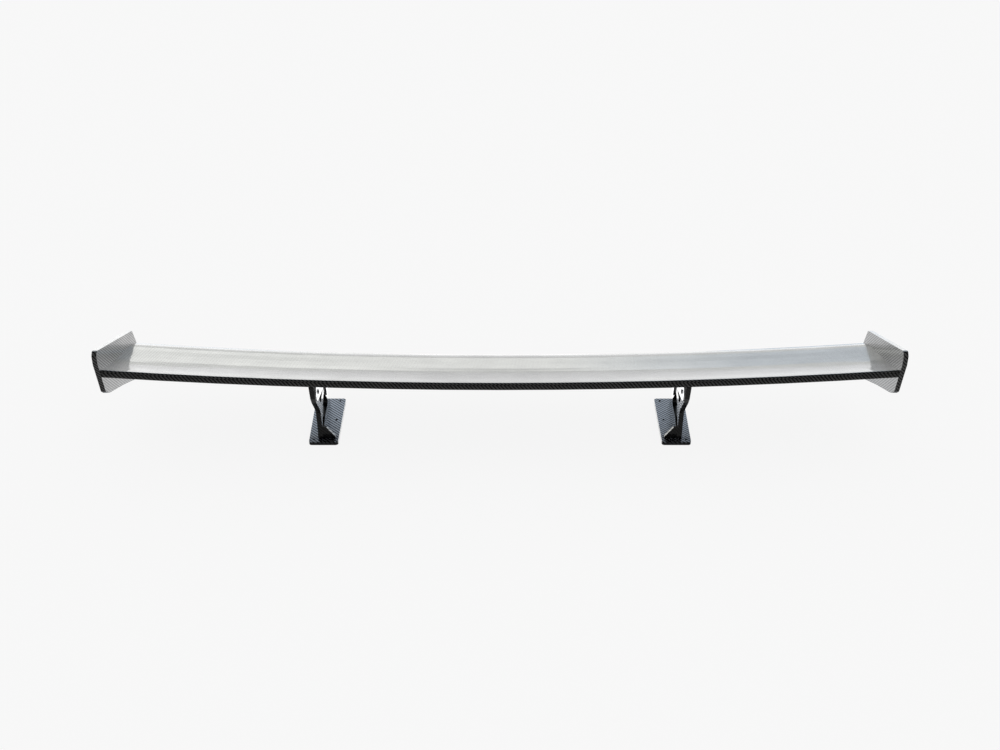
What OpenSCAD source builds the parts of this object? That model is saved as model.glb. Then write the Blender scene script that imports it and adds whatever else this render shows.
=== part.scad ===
// Racing rear wing: a bowed carbon aerofoil between two end plates, held by two uprights on
// screw-down feet. Millimetres. X runs along the span, +Y is the nose of the car, +Z is up.
// Side profiles are [y, z] points: y from the rear edge of the feet, z from the top of their plates.

/* [Wing] */
// Width over the two end plates
span = 1640; // [1580:1:1740]
// Nose-down angle of the aerofoil, in degrees
pitch = 17.95; // [15:0.05:20]
// Chord from the leading edge to the rounding of the trailing edge
chord = 260.5; // [250:0.1:266]
// Radius of the bow along the span
bow_r = 10800; // [9000:50:12000]
// Half thickness of the blunt trailing edge
tail_half = 7.5; // [7:0.1:9]
// Radius of the upper edge of the blunt trailing edge
tail_round_top = 6; // [4:0.1:6.5]
// Radius of the lower edge of the blunt trailing edge
tail_round = 3; // [2.5:0.1:4]
// Depth term of the pressure side, on top
top_depth = 46; // [38:0.5:52]
// Hollow towards the tail of the pressure side
top_hollow = 3.5; // [0:0.25:6]
// Depth term of the suction side, underneath
bottom_depth = 58; // [45:0.5:66]
// Thickness of the two skins
skin_t = 2; // [1.5:0.1:3]
// Thickness of the spar webs
spar_t = 3; // [2:0.5:5]
// Thickness of the ribs
rib_t = 8; // [5:0.5:12]

/* [End plates] */
// Thickness of an end plate
plate_t = 10; // [6:0.5:12]
// Corner radius of the end plates
plate_corner = 7; // [3:0.5:10]

/* [Feet] */
// Inner face of an upright, from the centreline
upright_x = 384; // [340:0.5:430]
// Thickness of an upright
upright_t = 10.5; // [8:0.5:12]
// Length of a foot plate
foot_l = 175; // [170:1:190]
// Reach of a foot plate inboard of its upright
foot_in = 33.5; // [30:0.5:40]
// Reach of a foot plate outboard of its upright
foot_out = 20; // [17:0.5:25]
// Thickness of a foot plate
foot_t = 5.5; // [4:0.5:8]
// Thickness of the rubber gasket under a foot
gasket_t = 2; // [1:0.5:3]
// Fore and aft pitch of the foot holes
hole_pitch = 77; // [74:0.5:79]
// Spacing of the two rows of foot holes
hole_rows = 41; // [38:0.5:43]
// Diameter of a foot hole
hole_d = 5.5; // [4.5:0.1:6.5]

/* [Pivot] */
// Diameter of the pivot and adjuster bolts
bolt_d = 6; // [5:0.5:6]
// Travel of the wing, nose down from its shallowest setting, in degrees
travel = 4; // [2:0.5:4]
// Thickness of a wing bracket
bracket_t = 3; // [2:0.5:4]

/* [Hidden] */
$fn = 128;

carbon = [0.13, 0.13, 0.14];
black_metal = [0.08, 0.08, 0.09];
steel = [0.72, 0.72, 0.74];
rubber = [0.05, 0.05, 0.05];
aluminium = [0.75, 0.76, 0.78];
core = [0.45, 0.40, 0.30];

// Clearances
bond_gap = 0.1;
body_gap = 0.3;
run_gap = 0.06;
eps = 0.01;

// Stations in the side profile
nose = [181.5, 103];
pivot = [101.7, 65.7];
adjuster = [-24, 143.5];
rear_y = -81;
front_y = 190;
middle_y = (rear_y + front_y) / 2;
floor_z = foot_t + gasket_t;

// Wing
wing_half = span / 2 - plate_t;
bow_axis_z = nose[1] + bow_r;
bow_margin = 40;
bow_segments = 6;
bow_fn_most = 256;
chord_dir = [-cos(pitch), sin(pitch)];
chord_up = [sin(pitch), cos(pitch)];
foil_steps = 36;
arc_steps = 8;
front_spar_at = 0.27;
rear_spar_at = 0.70;
hardpoint_half = 21;
hardpoint_x = upright_x - 16;

// Bracket: a web beside the upright and a flange against the underside of the wing
web_x = upright_x - body_gap - bracket_t;
flange_w = 24;
flange_from = 0.30;
flange_to = 0.885;
flange_steps = 16;
web_drop = 0.6;
bracket_screws_at = [0.36, 0.45, 0.54, 0.63];
bracket_screw_d = 5;
bracket_screw_l = 20;
bracket_head_r = 4.5;
bracket_head_h = 2.6;

// End plate screws, along the chord
plate_screws_at = [0.22, 0.48, 0.76];
plate_screw_d = 5;
plate_screw_head_r = 5;
plate_screw_head_h = 2.7;
plate_screw_grip = 7;

// Bolts
head_r = bolt_d * 0.8;
head_h = 2.2;
head_edge = 0.7;
socket_r = bolt_d * 0.34;
socket_depth = 1.3;
insert_r = bolt_d * 0.75;
slot_end_gap = 0.5;
slot_steps = 12;

// Feet
foot_rear = -3;
foot_flare = 4;
foot_corner = 6;
first_hole_y = 8;
first_row_in = 21;
row_x = [upright_x - first_row_in, upright_x - first_row_in + hole_rows];
foot_screws_at = [45, 90, 135];
foot_screw_d = 5;
foot_screw_head_r = 4.8;
foot_screw_head_h = 2.8;
foot_screw_l = 16;
gusset_y = 12.8;
gusset_t = 6;
gusset_outline = [[0, 0], [-27, 0], [-27, 4], [-9, 27.5], [0, 30]];

plate_outline = [
    [160, 183.4], [167, 180], [175, 162], [182, 146], [187.5, 128], [190, 108],
    [187, 88], [178, 71], [160, 63.5], [134.5, 75.2], [49.9, 113.6], [-40, 151],
    [-52, 158], [-63.6, 168.6], [-72.4, 206.7], [-81, 243], [-80, 262], [-73, 269],
    [-66, 268]
];
upright_outline = [
    [10, 0], [12.4, 14], [12.2, 35], [10.2, 58], [8.8, 68], [1, 82], [-13.9, 98.7],
    [-32.6, 120], [-45, 138], [-50, 155], [-56, 174.5, 1.5], [-44, 168], [-22, 157],
    [2, 144], [4, 138], [-1, 118], [6, 103], [18.8, 87.3], [38.5, 92.3], [62.3, 97.6],
    [72, 97.5], [86, 88], [103, 81], [113, 73], [117.5, 58], [132, 35], [147, 17],
    [160, 0]
];
window_outline = [
    [81, 79], [96, 56], [113, 39], [116, 28], [107, 24], [62, 24], [29, 10],
    [19, 30], [31, 46], [31, 60], [48, 69], [61, 78]
];
web_lower_edge = [
    [82, 94], [90.5, 72], [92.5, 60], [101.7, 55.2], [111, 60], [113, 74], [106, 92]
];
web_rear_edge = [
    [48.6, 107.5], [-14, 121.5], [-33, 125.5], [-47, 137], [-49, 149]
];

// ---- helpers -------------------------------------------------------------------------------

// Unit vector
function unit(v) = v / norm(v);

// Points of the arc that rounds corner b of the path a, b, c
function corner(a, b, c, r) =
    let (u = unit(a - b), v = unit(c - b))
    let (half = acos(max(-1, min(1, u * v))) / 2)
    let (room = 0.45 * min(norm(a - b), norm(c - b)))
    let (back = min(room, r / tan(half)), rad = back * tan(half))
    half > 86 ? [b] :
    let (centre = b + unit(u + v) * rad / sin(half))
    let (p = b + u * back - centre, q = b + v * back - centre)
    [for (i = [0 : 4]) centre + rad * unit(p * (1 - i / 4) + q * i / 4)];

// The [y, z] part of a path point
function flat(p) = [p[0], p[1]];

// A closed path with every corner rounded: a third number on a point is its own radius
function rounded(path, r) =
    let (n = len(path))
    [for (i = [0 : n - 1])
        each corner(flat(path[(i + n - 1) % n]), flat(path[i]), flat(path[(i + 1) % n]),
            len(path[i]) > 2 ? path[i][2] : r)];

// Height of the pressure side above the chord line, at a fraction s of the chord
function top_at(s) =
    top_depth * sqrt(s) * pow(1 - s, 3) + tail_half * s - top_hollow * s * s * (1 - s);

// Depth of the suction side below the chord line
function bottom_at(s) = bottom_depth * sqrt(s) * (1 - s) + tail_half * s;

// Side profile point at a fraction s of the chord and a height h above the chord line
function on_foil(s, h) = nose + chord_dir * s * chord + chord_up * h;

// Stations packed closely at the nose
function station(i, n) = pow(i / n, 2);

// Height of one side above the chord line: side 1 is the top, -1 the bottom
function side_at(s, side) = side > 0 ? top_at(s) : -bottom_at(s);

// Direction pointing out of the surface, away from the inside of the aerofoil
function outward(s, side) =
    let (d = 0.002, a = max(0, s - d), b = min(1, s + d))
    let (run = on_foil(b, side_at(b, side)) - on_foil(a, side_at(a, side)))
    side * unit([run[1], -run[0]]);

// A point of the surface, moved inwards by a depth
function skin_point(s, side, depth) = on_foil(s, side_at(s, side)) - depth * outward(s, side);

// Points of one side of the foil from nose to tail, moved inwards by a depth
function run_of(side, depth) =
    [for (i = [1 : foil_steps]) skin_point(station(i, foil_steps), side, depth)];

// Half of the blunt tail, from the rounded edge to the chord line
function tail_of(side, depth) =
    let (r = side > 0 ? tail_round_top : tail_round, push = tail_round_top - r)
    concat(
        [for (i = [1 : arc_steps])
            let (a = 90 * i / arc_steps)
            on_foil(1, side * (tail_half - r)) + push * chord_dir
                + (r - depth) * (chord_up * side * cos(a) + chord_dir * sin(a))],
        [on_foil(1, 0) + (tail_round_top - depth) * chord_dir]);

// The nose point of the outer or inner surface, on the chord line
function nose_of(depth) = on_foil(depth / chord, 0);

// Outline of one skin
function skin_outline(side) = concat(
    [nose_of(0)], run_of(side, 0), tail_of(side, 0),
    reverse(tail_of(side, skin_t)), reverse(inner_run(side, skin_t)), [nose_of(skin_t)]);

// Inner surface points that lie behind the inner nose
function inner_run(side, depth) =
    [for (p = run_of(side, depth)) if ((p - nose_of(depth)) * chord_dir > 0.4) p];

function reverse(list) = [for (i = [len(list) - 1 : -1 : 0]) list[i]];

// Outline of the space inside the skins
function inside_outline(depth) = concat(
    [nose_of(depth)], inner_run(1, depth), tail_of(1, depth),
    [for (i = [arc_steps - 1 : -1 : 0]) tail_of(-1, depth)[i]], reverse(inner_run(-1, depth)));

// Rise of the bowed wing at a distance x from the centreline
function bow_rise(x) = bow_r - sqrt(bow_r * bow_r - x * x);

// Turn a side profile into a solid between two X stations
module across(x_from, x_to) {
    translate([x_from, 0, 0])
        rotate([90, 0, 90])
            linear_extrude(height = x_to - x_from)
                children();
}

// Facet count that draws a sweep of so many degrees in an even number of segments, so that the
// middle of the wing lies on the true bow
function bow_fn(sweep) = min(bow_fn_most, floor(360 * bow_segments / sweep));

// Bend a side profile along the bow of the wing, kept between two X stations
module bowed(points, x_from, x_to) {
    turn_from = asin((x_from - bow_margin) / bow_r);
    turn_to = asin((x_to + bow_margin) / bow_r);
    intersection() {
        translate([0, 0, bow_axis_z])
            rotate([0, 90, 90])
                rotate([0, 0, -turn_to])
                    rotate_extrude(angle = turn_to - turn_from, $fn = bow_fn(turn_to - turn_from))
                        polygon([for (p = points) [bow_axis_z - p[1], p[0]]]);
        translate([x_from, -span, -span])
            cube([x_to - x_from, 2 * span, 2 * span]);
    }
}

// Put a part of the side profile in the shared frame
module placed() {
    translate([0, -middle_y, floor_z])
        children();
}

// Both hands of a part: side 1 is +X, side -1 its mirror image
module handed(side) {
    if (side > 0) {
        children();
    } else {
        mirror([1, 0, 0])
            children();
    }
}

// A round bar along X between two stations, at a side profile point
module bar_x(p, r, x_from, x_to) {
    translate([x_from, p[0], p[1]])
        rotate([0, 90, 0])
            cylinder(h = x_to - x_from, r = r);
}

// A hexagonal bar along X
module hex_x(p, r, x_from, x_to) {
    translate([x_from, p[0], p[1]])
        rotate([0, 90, 0])
            cylinder(h = x_to - x_from, r = r, $fn = 6);
}

// ---- wing ----------------------------------------------------------------------------------

module wing_upper_skin() {
    color(carbon)
        placed()
            bowed(skin_outline(1), -wing_half, wing_half);
}

module wing_lower_skin() {
    color(carbon)
        placed()
            difference() {
                bowed(skin_outline(-1), -wing_half, wing_half);
                for (side = [-1, 1]) {
                    handed(side)
                        bracket_screw_holes(bracket_screw_d / 2 + bond_gap);
                }
            }
}

// Corner points of a spar web that stands between the skins at a fraction of the chord
function spar_outline(s) =
    let (d = spar_t / chord / 2, in = skin_t + bond_gap)
    [skin_point(s - d, 1, in), skin_point(s + d, 1, in),
        skin_point(s + d, -1, in), skin_point(s - d, -1, in)];

module spar(s) {
    color(carbon)
        placed()
            bowed(spar_outline(s), -wing_half + rib_t + bond_gap, wing_half - rib_t - bond_gap);
}

// Outline of the box between the two spars
function box_outline(steps) =
    let (a = front_spar_at + (spar_t / 2 + 0.5) / chord, b = rear_spar_at - (spar_t / 2 + 0.5) / chord)
    let (in = skin_t + 2 * bond_gap)
    concat(
        [for (i = [0 : steps]) skin_point(a + (b - a) * i / steps, 1, in)],
        [for (i = [steps : -1 : 0]) skin_point(a + (b - a) * i / steps, -1, in)]);

module centre_rib() {
    color(core)
        placed()
            bowed(box_outline(12), -rib_t / 2, rib_t / 2);
}

module hardpoint(side) {
    color(core)
        placed()
            handed(side)
                difference() {
                    bowed(box_outline(12), hardpoint_x - hardpoint_half, hardpoint_x + hardpoint_half);
                    bracket_screw_holes(bracket_screw_d / 2 + bond_gap / 2);
                }
}

module end_rib(side) {
    color(core)
        placed()
            handed(side)
                difference() {
                    bowed(inside_outline(skin_t + 2 * bond_gap), wing_half - rib_t, wing_half);
                    for (s = plate_screws_at) {
                        bar_x(plate_screw_point(s), plate_screw_d / 2 + bond_gap / 2,
                            wing_half - rib_t - 1, wing_half + 1);
                    }
                }
}

// ---- end plates ----------------------------------------------------------------------------

// Side profile point of an end plate screw, on the middle line of the aerofoil at the wing tip
function plate_screw_point(s) =
    on_foil(s, (top_at(s) - bottom_at(s)) / 2) + [0, bow_rise(wing_half)];

module end_plate(side) {
    color(carbon)
        placed()
            handed(side)
                difference() {
                    across(wing_half, wing_half + plate_t)
                        polygon(rounded(plate_outline, plate_corner));
                    for (s = plate_screws_at) {
                        bar_x(plate_screw_point(s), plate_screw_d / 2 + bond_gap,
                            wing_half - 1, wing_half + plate_t + 1);
                        plate_screw_cone(s, bond_gap);
                    }
                }
}

// Countersunk head, or its seat when grown by a gap
module plate_screw_cone(s, gap) {
    p = plate_screw_point(s);
    translate([wing_half + plate_t - plate_screw_head_h, p[0], p[1]])
        rotate([0, 90, 0])
            cylinder(h = plate_screw_head_h + gap, r1 = plate_screw_d / 2 + gap,
                r2 = plate_screw_head_r + 2 * gap);
}

module end_plate_screws(side) {
    color(black_metal)
        placed()
            handed(side)
                for (s = plate_screws_at) {
                    difference() {
                        union() {
                            bar_x(plate_screw_point(s), plate_screw_d / 2,
                                wing_half - plate_screw_grip, wing_half + plate_t - eps);
                            intersection() {
                                plate_screw_cone(s, 0);
                                bar_x(plate_screw_point(s), plate_screw_head_r - bond_gap,
                                    wing_half, wing_half + plate_t - eps);
                            }
                        }
                        hex_x(plate_screw_point(s), plate_screw_d * 0.34,
                            wing_half + plate_t - plate_screw_head_h * 0.7, wing_half + plate_t + 1);
                    }
                }
}

// ---- brackets ------------------------------------------------------------------------------

// Local frame of a bracket screw: the origin is on the underside of the wing, +Z points down
// out of the skin, square to the surface
module at_bracket_screw(s) {
    x = web_x - flange_w / 2;
    p = skin_point(s, -1, 0) + [0, bow_rise(x)];
    out = outward(s, -1);
    translate([x, p[0], p[1]])
        rotate([atan2(-out[0], out[1]), 0, 0])
            children();
}

module bracket_screw_holes(r) {
    for (s = bracket_screws_at) {
        at_bracket_screw(s)
            translate([0, 0, -bracket_screw_l])
                cylinder(h = bracket_screw_l + 3 * bracket_t, r = r);
    }
}

// Flange outline: a strip that follows the underside of the wing
function flange_outline() =
    let (n = flange_steps, step = (flange_to - flange_from) / n)
    concat(
        [for (i = [0 : n]) skin_point(flange_from + i * step, -1, -bond_gap)],
        [for (i = [n : -1 : 0]) skin_point(flange_from + i * step, -1, -bond_gap - bracket_t)]);

// Web outline: from just under the top of the flange down to the pivot and the adjuster slot
function web_outline() =
    let (n = flange_steps, step = (flange_to - flange_from) / n)
    let (rise = [0, bow_rise(web_x)])
    concat(
        [for (i = [0 : n]) skin_point(flange_from + i * step, -1, -bond_gap - web_drop) + rise],
        reverse(web_rear_edge), web_lower_edge);

// Centre line of the adjuster slot: an arc about the pivot
function slot_point(turn) =
    let (arm = adjuster - pivot)
    pivot + [arm[0] * cos(turn) - arm[1] * sin(turn), arm[0] * sin(turn) + arm[1] * cos(turn)];

slot_over = slot_end_gap / norm(adjuster - pivot) * 180 / PI;
slot_w = bolt_d + 2 * run_gap;

// The slot is cut as one smooth ring sector with two round ends
module adjuster_slot(x_from, x_to) {
    arm = norm(adjuster - pivot);
    start = atan2(adjuster[1] - pivot[1], adjuster[0] - pivot[0]) - slot_over;
    sweep = travel + 2 * slot_over;
    translate([x_from, pivot[0], pivot[1]])
        rotate([90, 0, 90])
            rotate([0, 0, start])
                rotate_extrude(angle = sweep)
                    translate([arm - slot_w / 2, 0])
                        square([slot_w, x_to - x_from]);
    for (turn = [-slot_over, travel + slot_over]) {
        bar_x(slot_point(turn), slot_w / 2, x_from, x_to);
    }
}

module wing_bracket(side) {
    color(aluminium)
        placed()
            handed(side)
                difference() {
                    union() {
                        bowed(flange_outline(), web_x - flange_w, web_x + bracket_t / 2);
                        across(web_x, web_x + bracket_t)
                            polygon(web_outline());
                    }
                    bar_x(pivot, bolt_d / 2 + run_gap, web_x - 1, web_x + bracket_t + 1);
                    adjuster_slot(web_x - 1, web_x + bracket_t + 1);
                    bracket_screw_holes(bracket_screw_d / 2 + bond_gap);
                }
}

module bracket_screws(side) {
    color(black_metal)
        placed()
            handed(side)
                for (s = bracket_screws_at) {
                    at_bracket_screw(s)
                        difference() {
                            union() {
                                translate([0, 0, bracket_t + 2 * bond_gap])
                                    cylinder(h = bracket_head_h, r = bracket_head_r);
                                translate([0, 0, -bracket_screw_l + bracket_t + 2])
                                    cylinder(h = bracket_screw_l, r = bracket_screw_d / 2);
                            }
                            translate([0, 0, bracket_t + bracket_head_h * 0.4])
                                cylinder(h = bracket_head_h, r = bracket_screw_d * 0.34, $fn = 6);
                        }
                }
}

// ---- pivot and adjuster bolts ---------------------------------------------------------------

head_x = web_x - body_gap;
outer_x = upright_x + upright_t + bond_gap;

// Low button head on the axis of a bolt: it starts at x and rises towards out, which is -1 or 1
module bolt_head(p, x, out) {
    difference() {
        translate([x, p[0], p[1]])
            rotate([0, 90 * out, 0]) {
                cylinder(h = head_edge, r = head_r);
                translate([0, 0, head_edge])
                    cylinder(h = head_h - head_edge, r1 = head_r, r2 = head_r * 0.8);
            }
        translate([x, p[0], p[1]])
            rotate([0, 90 * out, 0])
                translate([0, 0, head_h - socket_depth])
                    cylinder(h = socket_depth + 1, r = socket_r, $fn = 6);
    }
}

// Shoulder bolts that go in from the outside of the uprights and end flush with the webs
module pivot_bolts() {
    color(steel)
        placed()
            for (side = [-1, 1]) {
                handed(side) {
                    bar_x(pivot, bolt_d / 2, web_x, outer_x);
                    bolt_head(pivot, outer_x, 1);
                }
            }
}

// Clamping bolts that go in from the inside, through the slots, into the sleeves
module adjuster_bolts() {
    color(steel)
        placed()
            for (side = [-1, 1]) {
                handed(side) {
                    bar_x(adjuster, bolt_d / 2, head_x, upright_x + upright_t);
                    bolt_head(adjuster, head_x, -1);
                }
            }
}

// Threaded sleeves bonded into the uprights, flush with both faces
module upright_inserts() {
    color(steel)
        placed()
            for (side = [-1, 1], p = [pivot, adjuster]) {
                handed(side)
                    difference() {
                        bar_x(p, insert_r, upright_x, upright_x + upright_t);
                        bar_x(p, bolt_d / 2 + bond_gap / 2, upright_x - 1, upright_x + upright_t + 1);
                    }
            }
}

// ---- uprights and feet -----------------------------------------------------------------------

module upright(side) {
    color(carbon)
        placed()
            handed(side)
                difference() {
                    across(upright_x, upright_x + upright_t)
                        polygon(rounded(upright_outline, 5));
                    across(upright_x - 1, upright_x + upright_t + 1)
                        polygon(rounded(window_outline, 5));
                    for (p = [pivot, adjuster]) {
                        bar_x(p, insert_r + bond_gap / 2, upright_x - 1, upright_x + upright_t + 1);
                    }
                    for (y = foot_screws_at) {
                        translate([upright_x + upright_t / 2, y, -1])
                            cylinder(h = foot_screw_l - foot_t + 2, r = foot_screw_d / 2 + bond_gap / 2);
                    }
                }
}

module gusset(side) {
    color(carbon)
        placed()
            handed(side)
                translate([upright_x, gusset_y + gusset_t, 0])
                    rotate([90, 0, 0])
                        linear_extrude(height = gusset_t)
                            polygon(gusset_outline);
}

// Plan of a foot plate, a little wider at the front
function foot_plan() =
    let (x1 = upright_x - foot_in, x2 = upright_x + upright_t + foot_out - 1)
    rounded([[x1, foot_rear], [x2, foot_rear], [x2 + foot_flare, foot_rear + foot_l],
        [x1, foot_rear + foot_l]], foot_corner);

module foot_holes(r, z_from, h) {
    for (x = row_x, i = [0 : 2]) {
        translate([x, first_hole_y + i * hole_pitch, z_from])
            cylinder(h = h, r = r);
    }
}

module foot_plate(side) {
    color(carbon)
        placed()
            handed(side)
                difference() {
                    translate([0, 0, -foot_t])
                        linear_extrude(height = foot_t)
                            polygon(foot_plan());
                    foot_holes(hole_d / 2, -foot_t - 1, foot_t + 2);
                    for (y = foot_screws_at) {
                        translate([upright_x + upright_t / 2, y, 0])
                            foot_screw_shape(bond_gap);
                    }
                }
}

// Countersunk screw that rises through the plate, or its hole when grown by a gap
module foot_screw_shape(gap) {
    translate([0, 0, -foot_t - gap])
        cylinder(h = foot_screw_l + 2 * gap, r = foot_screw_d / 2 + gap);
    translate([0, 0, -foot_t - gap])
        cylinder(h = foot_screw_head_h + gap, r1 = foot_screw_head_r + gap, r2 = foot_screw_d / 2 + gap);
}

module foot_screws(side) {
    color(steel)
        placed()
            handed(side)
                for (y = foot_screws_at) {
                    translate([upright_x + upright_t / 2, y, 0])
                        foot_screw_shape(0);
                }
}

module foot_gasket(side) {
    color(rubber)
        placed()
            handed(side)
                difference() {
                    translate([0, 0, -floor_z])
                        linear_extrude(height = gasket_t)
                            polygon(foot_plan());
                    foot_holes(hole_d / 2, -floor_z - 1, gasket_t + 2);
                }
}

wing_upper_skin();
wing_lower_skin();
spar(front_spar_at);  // front_spar
spar(rear_spar_at);  // rear_spar
centre_rib();
hardpoint(-1);  // hardpoint_left
hardpoint(1);  // hardpoint_right
end_rib(-1);  // end_rib_left
end_rib(1);  // end_rib_right
end_plate(-1);  // end_plate_left
end_plate(1);  // end_plate_right
end_plate_screws(-1);  // end_plate_screws_left
end_plate_screws(1);  // end_plate_screws_right
wing_bracket(-1);  // wing_bracket_left
wing_bracket(1);  // wing_bracket_right
bracket_screws(-1);  // bracket_screws_left
bracket_screws(1);  // bracket_screws_right
pivot_bolts();
adjuster_bolts();
upright_inserts();
upright(-1);  // upright_left
upright(1);  // upright_right
gusset(-1);  // gusset_left
gusset(1);  // gusset_right
foot_screws(-1);  // foot_screws_left
foot_screws(1);  // foot_screws_right
foot_plate(-1);  // foot_plate_left
foot_plate(1);  // foot_plate_right
foot_gasket(-1);  // foot_gasket_left
foot_gasket(1);  // foot_gasket_right
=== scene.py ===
import math

import bpy
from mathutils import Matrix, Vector

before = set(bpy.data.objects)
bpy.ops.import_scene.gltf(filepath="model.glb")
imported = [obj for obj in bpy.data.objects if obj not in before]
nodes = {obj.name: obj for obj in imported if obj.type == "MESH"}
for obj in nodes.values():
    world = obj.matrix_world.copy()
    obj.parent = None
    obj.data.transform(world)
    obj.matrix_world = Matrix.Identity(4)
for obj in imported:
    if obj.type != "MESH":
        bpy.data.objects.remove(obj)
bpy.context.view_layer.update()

# Plan offset and height of the side profile's own origin in this frame, in metres
MIDDLE_Y = 0.0545
FLOOR_Z = 0.0075


# ---- node helpers ---------------------------------------------------------------------------

class Net:
    """Short hand for building a material's nodes."""

    def __init__(self, name, shader="ShaderNodeBsdfPrincipled"):
        self.mat = bpy.data.materials.new(name)
        self.mat.use_nodes = True
        self.tree = self.mat.node_tree
        self.tree.nodes.clear()
        self.out = self.tree.nodes.new("ShaderNodeOutputMaterial")
        self.bsdf = self.tree.nodes.new(shader)
        self.link(self.bsdf.outputs[0], self.out.inputs[0])

    def link(self, a, b):
        self.tree.links.new(a, b)

    def node(self, kind, **values):
        n = self.tree.nodes.new(kind)
        for k, v in values.items():
            setattr(n, k, v)
        return n

    def math(self, op, a, b=None, c=None):
        n = self.node("ShaderNodeMath", operation=op)
        for i, v in enumerate((a, b, c)):
            if v is None:
                continue
            if isinstance(v, (int, float)):
                n.inputs[i].default_value = v
            else:
                self.link(v, n.inputs[i])
        return n.outputs[0]

    def mix(self, fac, a, b):
        n = self.node("ShaderNodeMix", data_type="RGBA")
        for i, v in ((0, fac), (6, a), (7, b)):
            if isinstance(v, (int, float)):
                n.inputs[i].default_value = v
            elif isinstance(v, tuple):
                n.inputs[i].default_value = (*v, 1.0)
            else:
                self.link(v, n.inputs[i])
        return n.outputs[2]

    def ramp(self, fac, lo, hi, a, b):
        """fac from lo..hi onto a..b, clamped."""
        n = self.node("ShaderNodeMapRange")
        n.inputs[1].default_value, n.inputs[2].default_value = lo, hi
        n.inputs[3].default_value, n.inputs[4].default_value = a, b
        self.link(fac, n.inputs[0])
        return n.outputs[0]

    def noise(self, coord, scale, detail=3.0, rough=0.55):
        n = self.node("ShaderNodeTexNoise")
        n.inputs["Scale"].default_value = scale
        n.inputs["Detail"].default_value = detail
        n.inputs["Roughness"].default_value = rough
        if coord is not None:
            self.link(coord, n.inputs["Vector"])
        return n.outputs[0]

    def bump(self, height, strength, distance):
        """Raise the surface by a height field."""
        n = self.node("ShaderNodeBump")
        n.inputs["Strength"].default_value = strength
        n.inputs["Distance"].default_value = distance
        self.link(height, n.inputs["Height"])
        self.link(n.outputs[0], self.bsdf.inputs["Normal"])

    def object_coord(self):
        return self.node("ShaderNodeTexCoord").outputs["Object"]

    def set(self, **values):
        for k, v in values.items():
            self.bsdf.inputs[k.replace("_", " ")].default_value = v


# 2x2 twill: the width of a tow in metres, and the tows in one repeat of the pattern
TOW = 0.00198
REPEAT = 4.0
# The feet have a slightly coarser cloth, so that it still shows at the picture's size
FOOT_TOW = 0.0022
# How far the tows wander (in tows), the filaments drawn across each, and the tone of the crossing tows, a painted
# shade against the painted highlight on the tows they cross
WANDER = 0.5
FILAMENTS = 7.0
CROSSING_PAINTED_SHADE = 0.04
# A face counts as square to an axis above this share of its normal
SQUARE = 0.7


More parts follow.
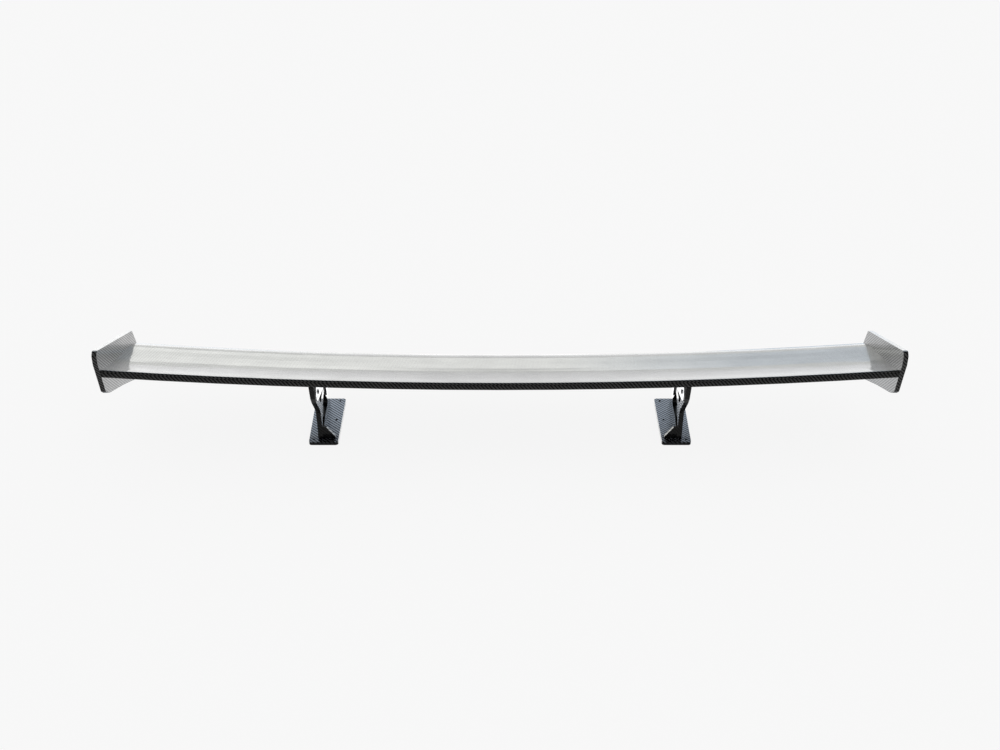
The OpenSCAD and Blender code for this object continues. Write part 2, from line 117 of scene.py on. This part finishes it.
def carbon(name, lit, tint=(1.0, 1.0, 1.0), coat_ior=1.5, shine=0.03, metallic=0.92,
           tow=TOW, bright="all", rest=0.1):
    """Clear-coated 2x2 twill carbon. The cloth lies on whichever two axes the face is squarest to.

    lit is the colour of the tows running one way, a painted highlight; the tows crossing them get a painted
    shade. Faces other than the bright ones ("top", "inboard" or "all") keep only the share rest of it, a painted
    shade on those faces against painted light on the bright ones.
    """
    dark = 0.01
    n = Net(name)
    where = n.node("ShaderNodeTexCoord")
    coord = where.outputs["Object"]
    at = n.node("ShaderNodeSeparateXYZ")
    n.link(coord, at.inputs[0])
    facing = n.node("ShaderNodeSeparateXYZ")
    n.link(where.outputs["Normal"], facing.inputs[0])
    x, y, z = at.outputs
    side = n.math("GREATER_THAN", n.math("ABSOLUTE", facing.outputs[0]), SQUARE)
    front = n.math("GREATER_THAN", n.math("ABSOLUTE", facing.outputs[1]), SQUARE)
    # a slow wander keeps the tows from being ruled lines
    wander = n.math("MULTIPLY", n.noise(coord, 6.0, 1.0), WANDER)

    def choose(fac, a, b):
        """a where fac is 0, b where it is 1."""
        return n.math("ADD", n.math("MULTIPLY", fac, b), n.math("MULTIPLY", n.math("SUBTRACT", 1.0, fac), a))

    across = choose(side, x, y)
    along = choose(n.math("MAXIMUM", side, front), y, z)
    u = n.math("ADD", n.math("MULTIPLY", across, 1.0 / tow), wander)
    v = n.math("ADD", n.math("MULTIPLY", along, 1.0 / tow), wander)
    iu, iv = n.math("FLOOR", u), n.math("FLOOR", v)
    fu, fv = n.math("FRACT", u), n.math("FRACT", v)
    phase = n.math("FLOORED_MODULO", n.math("ADD", iu, iv), REPEAT)
    warp = n.math("LESS_THAN", phase, 1.5)
    inv = n.math("SUBTRACT", 1.0, warp)

    def crown(f):
        """1 on the middle of a tow, 0 on its edges."""
        c = n.math("SUBTRACT", f, 0.5)
        return n.math("SUBTRACT", 1.0, n.math("MULTIPLY", n.math("MULTIPLY", c, c), 4.0))

    rise = n.math("ADD", n.math("MULTIPLY", warp, crown(fu)), n.math("MULTIPLY", inv, crown(fv)))
    height = n.math("POWER", n.math("MAXIMUM", rise, 0.001), 0.5)
    # filaments run along whichever tow is on top
    fine = n.math("ADD", n.math("MULTIPLY", warp, u), n.math("MULTIPLY", inv, v))
    fine = n.ramp(n.math("SINE", n.math("MULTIPLY", fine, 2 * math.pi * FILAMENTS)), -1.0, 1.0, 0.8, 1.0)
    # painted reflection: the tows running one way get the lit colour as a painted highlight, the crossing tows a
    # painted shade
    tone = n.math("ADD", n.math("MULTIPLY", warp, 1.0 - CROSSING_PAINTED_SHADE), CROSSING_PAINTED_SHADE)
    # painted shade in the grooves between tows: each tow is darker towards its edges
    tone = n.math("MULTIPLY", tone, n.ramp(height, 0.0, 1.0, 0.35, 1.0))
    cloud = n.ramp(n.noise(coord, 3.1, 4.0), 0.3, 0.7, 0.86, 1.0)
    tone = n.math("MULTIPLY", n.math("MULTIPLY", tone, fine), cloud)
    # matched: some faces look lighter than the rest
    # painted light on the chosen faces ("top": faces square to up or down, "inboard": faces turned towards the
    # middle); all other faces get painted shade
    if bright == "top":
        level = n.math("ABSOLUTE", facing.outputs[2])
        tone = n.math("MULTIPLY", tone, n.ramp(level, 0.5, 0.9, rest, 1.0))
    if bright == "inboard":
        inward = n.math("LESS_THAN", n.math("MULTIPLY", facing.outputs[0], x), -0.2)
        tone = n.math("MULTIPLY", tone, n.ramp(inward, 0.0, 1.0, rest, 1.0))
    shadow, light = (tuple(level * t for t in tint) for level in (dark, lit))
    n.link(n.mix(tone, shadow, light), n.bsdf.inputs["Base Color"])
    n.link(n.ramp(n.noise(coord, 14.0, 5.0), 0.25, 0.75, 0.32, 0.42), n.bsdf.inputs["Roughness"])
    n.bump(height, 0.3, 0.0002)
    n.set(Metallic=metallic, Coat_Weight=1.0, Coat_Roughness=shine, Coat_IOR=coat_ior)
    return n.mat


def worn_metal(name, colour, rough, metallic):
    """Metal with a brushed or cast grain, finger marks and slightly rubbed high spots."""
    n = Net(name)
    coord = n.object_coord()
    grain = n.noise(coord, 260.0, 4.0, 0.7)
    marks = n.noise(coord, 35.0, 5.0, 0.6)
    col = n.mix(n.ramp(marks, 0.35, 0.7, 0.0, 1.0), tuple(c * 0.82 for c in colour), colour)
    n.link(col, n.bsdf.inputs["Base Color"])
    mixed = n.math("ADD", n.ramp(grain, 0.2, 0.8, -0.05, 0.06), n.ramp(marks, 0.2, 0.8, rough, rough + 0.12))
    n.link(mixed, n.bsdf.inputs["Roughness"])
    n.bump(grain, 0.4, 0.00004)
    n.set(Metallic=metallic)
    return n.mat


def rubber_mat(name):
    """Dusty black rubber."""
    n = Net(name)
    coord = n.object_coord()
    grit = n.noise(coord, 900.0, 3.0)
    dust = n.noise(coord, 40.0, 5.0)
    colour = n.mix(n.ramp(dust, 0.45, 0.75, 0.0, 0.5), (0.012, 0.012, 0.012), (0.035, 0.034, 0.032))
    n.link(colour, n.bsdf.inputs["Base Color"])
    n.link(n.ramp(dust, 0.3, 0.7, 0.72, 0.88), n.bsdf.inputs["Roughness"])
    n.bump(grit, 0.5, 0.0001)
    return n.mat


def foam_mat(name):
    """Fine-celled yellowish core."""
    n = Net(name)
    coord = n.object_coord()
    cells = n.node("ShaderNodeTexVoronoi")
    cells.inputs["Scale"].default_value = 700.0
    n.link(coord, cells.inputs["Vector"])
    tone = n.noise(coord, 60.0, 4.0)
    n.link(n.mix(tone, (0.42, 0.34, 0.19), (0.60, 0.51, 0.32)), n.bsdf.inputs["Base Color"])
    n.link(n.ramp(tone, 0.3, 0.7, 0.68, 0.82), n.bsdf.inputs["Roughness"])
    n.bump(cells.outputs["Distance"], 0.5, 0.0002)
    return n.mat


def paint(obj, mat):
    obj.data.materials.clear()
    obj.data.materials.append(mat)


# ---- materials --------------------------------------------------------------------------------

# painted light: wing, end plates, uprights and feet are one carbon cloth, with lit set per part to a painted
# lightness
wing_mat = carbon("carbon_wing", lit=0.22)
plate_mat = carbon("carbon_plate", lit=0.3, coat_ior=1.32)
# painted light on the uprights' inboard faces, painted shade on their other faces
upright_mat = carbon("carbon_upright", lit=0.5, bright="inboard", rest=0.06)
# painted light on the feet's top and bottom faces, painted shade on their edges
foot_mat = carbon("carbon_foot", lit=0.54, coat_ior=1.3, tow=FOOT_TOW, bright="top", tint=(0.92, 0.98, 1.1))
inner_mat = carbon("carbon_inner", lit=0.12, coat_ior=1.3, shine=0.4, metallic=0.5)
satin = worn_metal("bracket_metal", (0.92, 0.93, 0.94), 0.22, 1.0)
steel = worn_metal("bolt_steel", (0.56, 0.56, 0.58), 0.24, 1.0)
black_screw = worn_metal("black_screw", (0.03, 0.03, 0.032), 0.32, 0.9)
rubber = rubber_mat("gasket_rubber")
core = foam_mat("core")

by_start = {
    "wing_": wing_mat, "front_spar": inner_mat, "rear_spar": inner_mat, "centre_rib": core, "hardpoint": core,
    "end_rib": core, "end_plate": plate_mat, "end_plate_screws": black_screw, "wing_bracket": satin,
    "bracket_screws": black_screw, "pivot": steel, "adjuster": steel, "upright": upright_mat,
    "upright_inserts": steel, "gusset": upright_mat, "foot_screws": steel, "foot_plate": foot_mat,
    "foot_gasket": rubber,
}
for name, obj in nodes.items():
    best = max((k for k in by_start if name.startswith(k)), key=len)
    paint(obj, by_start[best])

# ---- studio -------------------------------------------------------------------------------------

FLOOR_GLOW = 0.888
FLOOR_TONE = 0.05
# Brightness of the reflected floor and wall ahead, and the height of the line between them
GROUND = 1.80
WALL = 2.20
HORIZON_Z = 0.18
# Share of the floor's brightness left at a distance, straight ahead and out to the sides
FAR_GROUND = (0.64, 0.72)


def card(name, centre, size, facing, strength, colour, shade=None):
    """A glowing card that only reflections see. shade(n, x, y, z) may return a factor and a colour mix."""
    bpy.ops.mesh.primitive_plane_add(size=1.0)
    o = bpy.context.object
    o.name = name
    o.scale = (size[0], size[1], 1.0)
    o.location = centre
    o.rotation_mode = "QUATERNION"
    o.rotation_quaternion = Vector(facing).to_track_quat("Z", "Y")
    n = Net(name, "ShaderNodeEmission")
    n.bsdf.inputs["Color"].default_value = (*colour, 1.0)
    n.bsdf.inputs["Strength"].default_value = strength
    if shade:
        at = n.node("ShaderNodeSeparateXYZ")
        n.link(n.node("ShaderNodeNewGeometry").outputs["Position"], at.inputs[0])
        factor, blend, other = shade(n, *at.outputs)
        n.link(n.math("MULTIPLY", factor, strength), n.bsdf.inputs["Strength"])
        n.link(n.mix(blend, colour, other), n.bsdf.inputs["Color"])
    o.data.materials.append(n.mat)
    o.visible_camera = False
    o.visible_diffuse = False
    o.visible_shadow = False
    o.visible_transmission = False
    return o


def spread(n, x, y):
    """0 straight ahead of the camera, 1 well out to either side."""
    away = n.math("DIVIDE", n.math("ABSOLUTE", x), n.math("ADD", y, 2.4))
    return n.ramp(away, 0.03, 0.24, 0.0, 1.0)


def ground_shade(n, x, y, z):
    """A pale floor, brightest close by and out to the sides, with a dim bluish patch near each end."""
    wide = spread(n, x, y)
    far = n.ramp(wide, 0.0, 1.0, *FAR_GROUND)
    near = n.math("DIVIDE", n.ramp(wide, 0.0, 1.0, 0.4, 1.2), n.math("MAXIMUM", y, 4.0))
    dip = n.math("MULTIPLY", n.ramp(wide, 0.16, 0.36, -0.25, 0.28), n.ramp(y, 1.4, 3.0, 1.0, 0.0))
    close = n.math("SUBTRACT", 1.0, dip)
    outward = n.math("SUBTRACT", x, n.math("MULTIPLY", y, 0.2))
    right = n.math("MULTIPLY", n.ramp(outward, 0.3, 0.6, 0.0, 1.0), n.ramp(y, 1.5, 4.0, 0.6, 0.0))
    left = n.math("MULTIPLY", n.ramp(x, -0.95, -0.70, 1.0, 0.0), n.ramp(y, 1.5, 3.0, 0.35, 0.0))
    dim = n.math("MAXIMUM", left, right)
    factor = n.math("MULTIPLY", n.math("MULTIPLY", n.math("ADD", far, near), close), n.math("SUBTRACT", 1.0, dim))
    return factor, n.math("MULTIPLY", dim, 2.0), (0.62, 0.80, 1.0)


def wall_shade(n, x, y, z):
    """Far floor below, then a bright wall with faint level bands, dimmer and bluish on the right."""
    edge = n.math("SUBTRACT", HORIZON_Z, n.math("MULTIPLY", n.math("MULTIPLY", x, x), 0.008))
    wall = n.ramp(n.math("SUBTRACT", z, edge), -0.03, 0.03, 0.0, 1.0)
    bands = n.math("ADD", 1.0, n.math("MULTIPLY", n.math("SINE", n.math("MULTIPLY", z, 9.0)), 0.05))
    right = n.math("MULTIPLY", n.ramp(x, 0.8, 3.2, 0.0, 0.35), wall)
    far = n.ramp(spread(n, x, y), 0.0, 1.0, *(share * GROUND / WALL for share in FAR_GROUND))
    below = n.math("MULTIPLY", n.math("SUBTRACT", 1.0, wall), far)
    level = n.math("ADD", n.math("MULTIPLY", wall, bands), below)
    factor = n.math("MULTIPLY", level, n.math("SUBTRACT", 1.0, right))
    return factor, n.math("MULTIPLY", right, 2.0), (0.80, 0.90, 1.0)


def side_shade(n, x, y, z):
    """Fades out towards the back, so that no hard edge shows in the wing."""
    return n.ramp(y, -2.2, 3.2, 0.12, 1.0), 0.0, (1.0, 1.0, 1.0)


def back_shade(n, x, y, z):
    """A dim floor, a little brighter far behind."""
    return n.ramp(y, -9.0, -0.6, 1.6, 1.0), 0.0, (1.0, 1.0, 1.0)


world = bpy.data.worlds.new("studio")
bpy.context.scene.world = world
world.use_nodes = True
world.node_tree.nodes["Background"].inputs[0].default_value = (1.0, 1.0, 1.0, 1.0)
world.node_tree.nodes["Background"].inputs[1].default_value = 0.94
world.cycles_visibility.glossy = False

bpy.ops.mesh.primitive_plane_add(size=60.0, location=(0, 0, -0.0003))
floor = bpy.context.object
floor.name = "floor"
surface = Net("floor")
surface.set(Base_Color=(FLOOR_TONE, FLOOR_TONE, FLOOR_TONE, 1.0), Roughness=1.0, Specular_IOR_Level=0.0)
surface.set(Emission_Color=(1.0, 1.0, 1.0, 1.0), Emission_Strength=FLOOR_GLOW)
floor.data.materials.append(surface.mat)
floor.visible_glossy = False

# Reflected surroundings: a pale floor and wall ahead, a bluish sky panel, and dim surroundings behind
card("ground_ahead", (0, 8.225, -0.5), (22, 15.55), (0, 0, 1), GROUND, (1.0, 1.0, 1.0), ground_shade)
card("wall_ahead", (0, 16.0, 1.75), (22, 4.5), (0, -1, 0), WALL, (0.99, 1.0, 0.96), wall_shade)
card("sky_ahead", (0, 5.0, 3.2), (9, 4), (0, -0.85, -0.53), 0.95, (0.82, 0.91, 1.0))
card("ground_behind", (0, -4.375, -0.5), (34, 9.65), (0, 0, 1), 0.16, (1.0, 1.0, 1.0), back_shade)
card("wall_behind", (0, -9.0, 1.25), (34, 3.5), (0, 1, 0), 0.10, (1.0, 1.0, 1.0))
card("overhead_behind", (0, -4.0, 5.0), (10, 2.4), (0, 0.62, -0.78), 0.3, (1.0, 1.0, 1.0))
for side_name, hand in (("side_left", -1), ("side_right", 1)):
    card(side_name, (7.0 * hand, 0.5, 1.6), (5.5, 3.6), (-hand, 0, 0), 0.9, (1.0, 1.0, 1.0), side_shade)

# ---- camera -------------------------------------------------------------------------------------

# Place in the side profile's frame (metres), downward tilt in degrees, and lens and sensor in millimetres
CAMERA_Y = -2.3185
CAMERA_Z = 1.6011
CAMERA_DOWN = 31.7
LENS = 46.8
SENSOR = 36.0

cam_data = bpy.data.cameras.new("camera")
cam = bpy.data.objects.new("camera", cam_data)
bpy.context.scene.collection.objects.link(cam)
cam_data.sensor_width = SENSOR
cam_data.lens = LENS
cam.location = (0.0, CAMERA_Y - MIDDLE_Y, CAMERA_Z + FLOOR_Z)
cam.rotation_euler = (math.radians(90 - CAMERA_DOWN), 0, 0)
bpy.context.scene.camera = cam
bpy.context.scene.view_settings.view_transform = "Standard"
bpy.context.scene.view_settings.look = "None"
